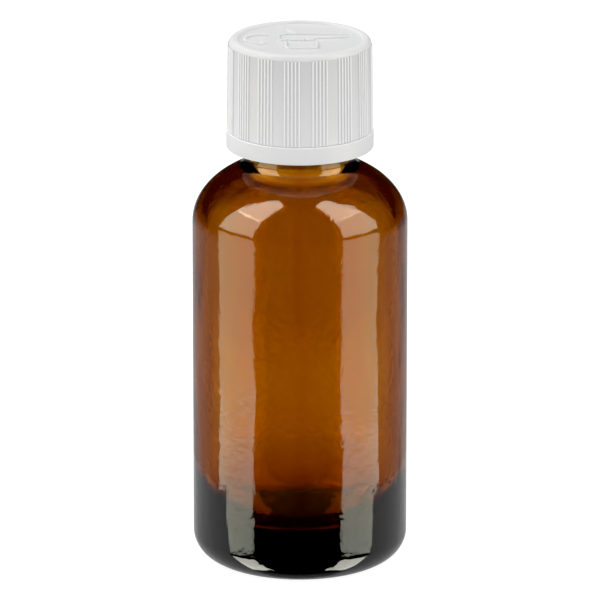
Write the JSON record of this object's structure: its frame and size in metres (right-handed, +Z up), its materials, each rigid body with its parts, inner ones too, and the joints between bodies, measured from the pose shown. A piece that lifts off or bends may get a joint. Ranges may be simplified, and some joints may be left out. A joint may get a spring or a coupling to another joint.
{
  "type": "screw-cap medicine bottle",
  "caption": "Small amber glass medicine bottle with a rounded shoulder and a ribbed white push-and-turn screw cap over a tamper-evident ring.",
  "frame": {"origin": "centre of the base, on the surface that the bottle stands on", "axes": "+Z up along the bottle's axis, -Y towards the side from which the cap's pictogram reads upright, +X to that viewer's right"},
  "size_m": [0.033, 0.033, 0.0828],
  "materials": {
    "amber_glass": "clear polished moulded glass",
    "soft_plug": "translucent soft polyethylene",
    "foam_liner": "fine closed-cell foam",
    "inner_shell": "natural moulded polypropylene",
    "white_cap": "satin moulded polypropylene"
  },
  "bodies": {
    "bottle": {"bottle": "amber_glass", "dropper_insert": "soft_plug"},
    "cap_seal": {"sealing_liner": "foam_liner"},
    "inner_cap": {"inner_cap": "inner_shell"},
    "cap_spring": {"spring_fingers": "inner_shell"},
    "outer_cap": {"outer_cap": "white_cap"},
    "tamper_ring": {"tamper_ring": "white_cap"}
  },
  "joints": [
    {"name": "cap_rise", "type": "slide", "parent": "bottle", "child": "cap_seal", "axis": [0, 0, 1], "range_m": [0, 0.0136]},
    {"name": "cap_turn", "type": "hinge", "parent": "cap_seal", "child": "inner_cap", "pos_m": [0, 0, 0.0745], "axis": [0, 0, 1], "range_deg": [0, 1620]},
    {"name": "outer_cap_turn", "type": "hinge", "parent": "inner_cap", "child": "cap_spring", "pos_m": [0, 0, 0.0807], "axis": [0, 0, 1], "continuous": true},
    {"name": "cap_press", "type": "slide", "parent": "cap_spring", "child": "outer_cap", "axis": [0, 0, -1], "range_m": [0, 0.001], "stiffness_N_per_m": 3000, "deforming": ["spring_fingers"]},
    {"name": "ring_release", "type": "slide", "parent": "outer_cap", "child": "tamper_ring", "axis": [0, 0, -1], "range_m": [0, 0.0136]}
  ],
  "couplings": [
    {"joint": "cap_rise", "follows": "cap_turn", "m_per_rad": 0.00047746},
    {"joint": "ring_release", "follows": "cap_turn", "m_per_rad": 0.00047746}
  ]
}
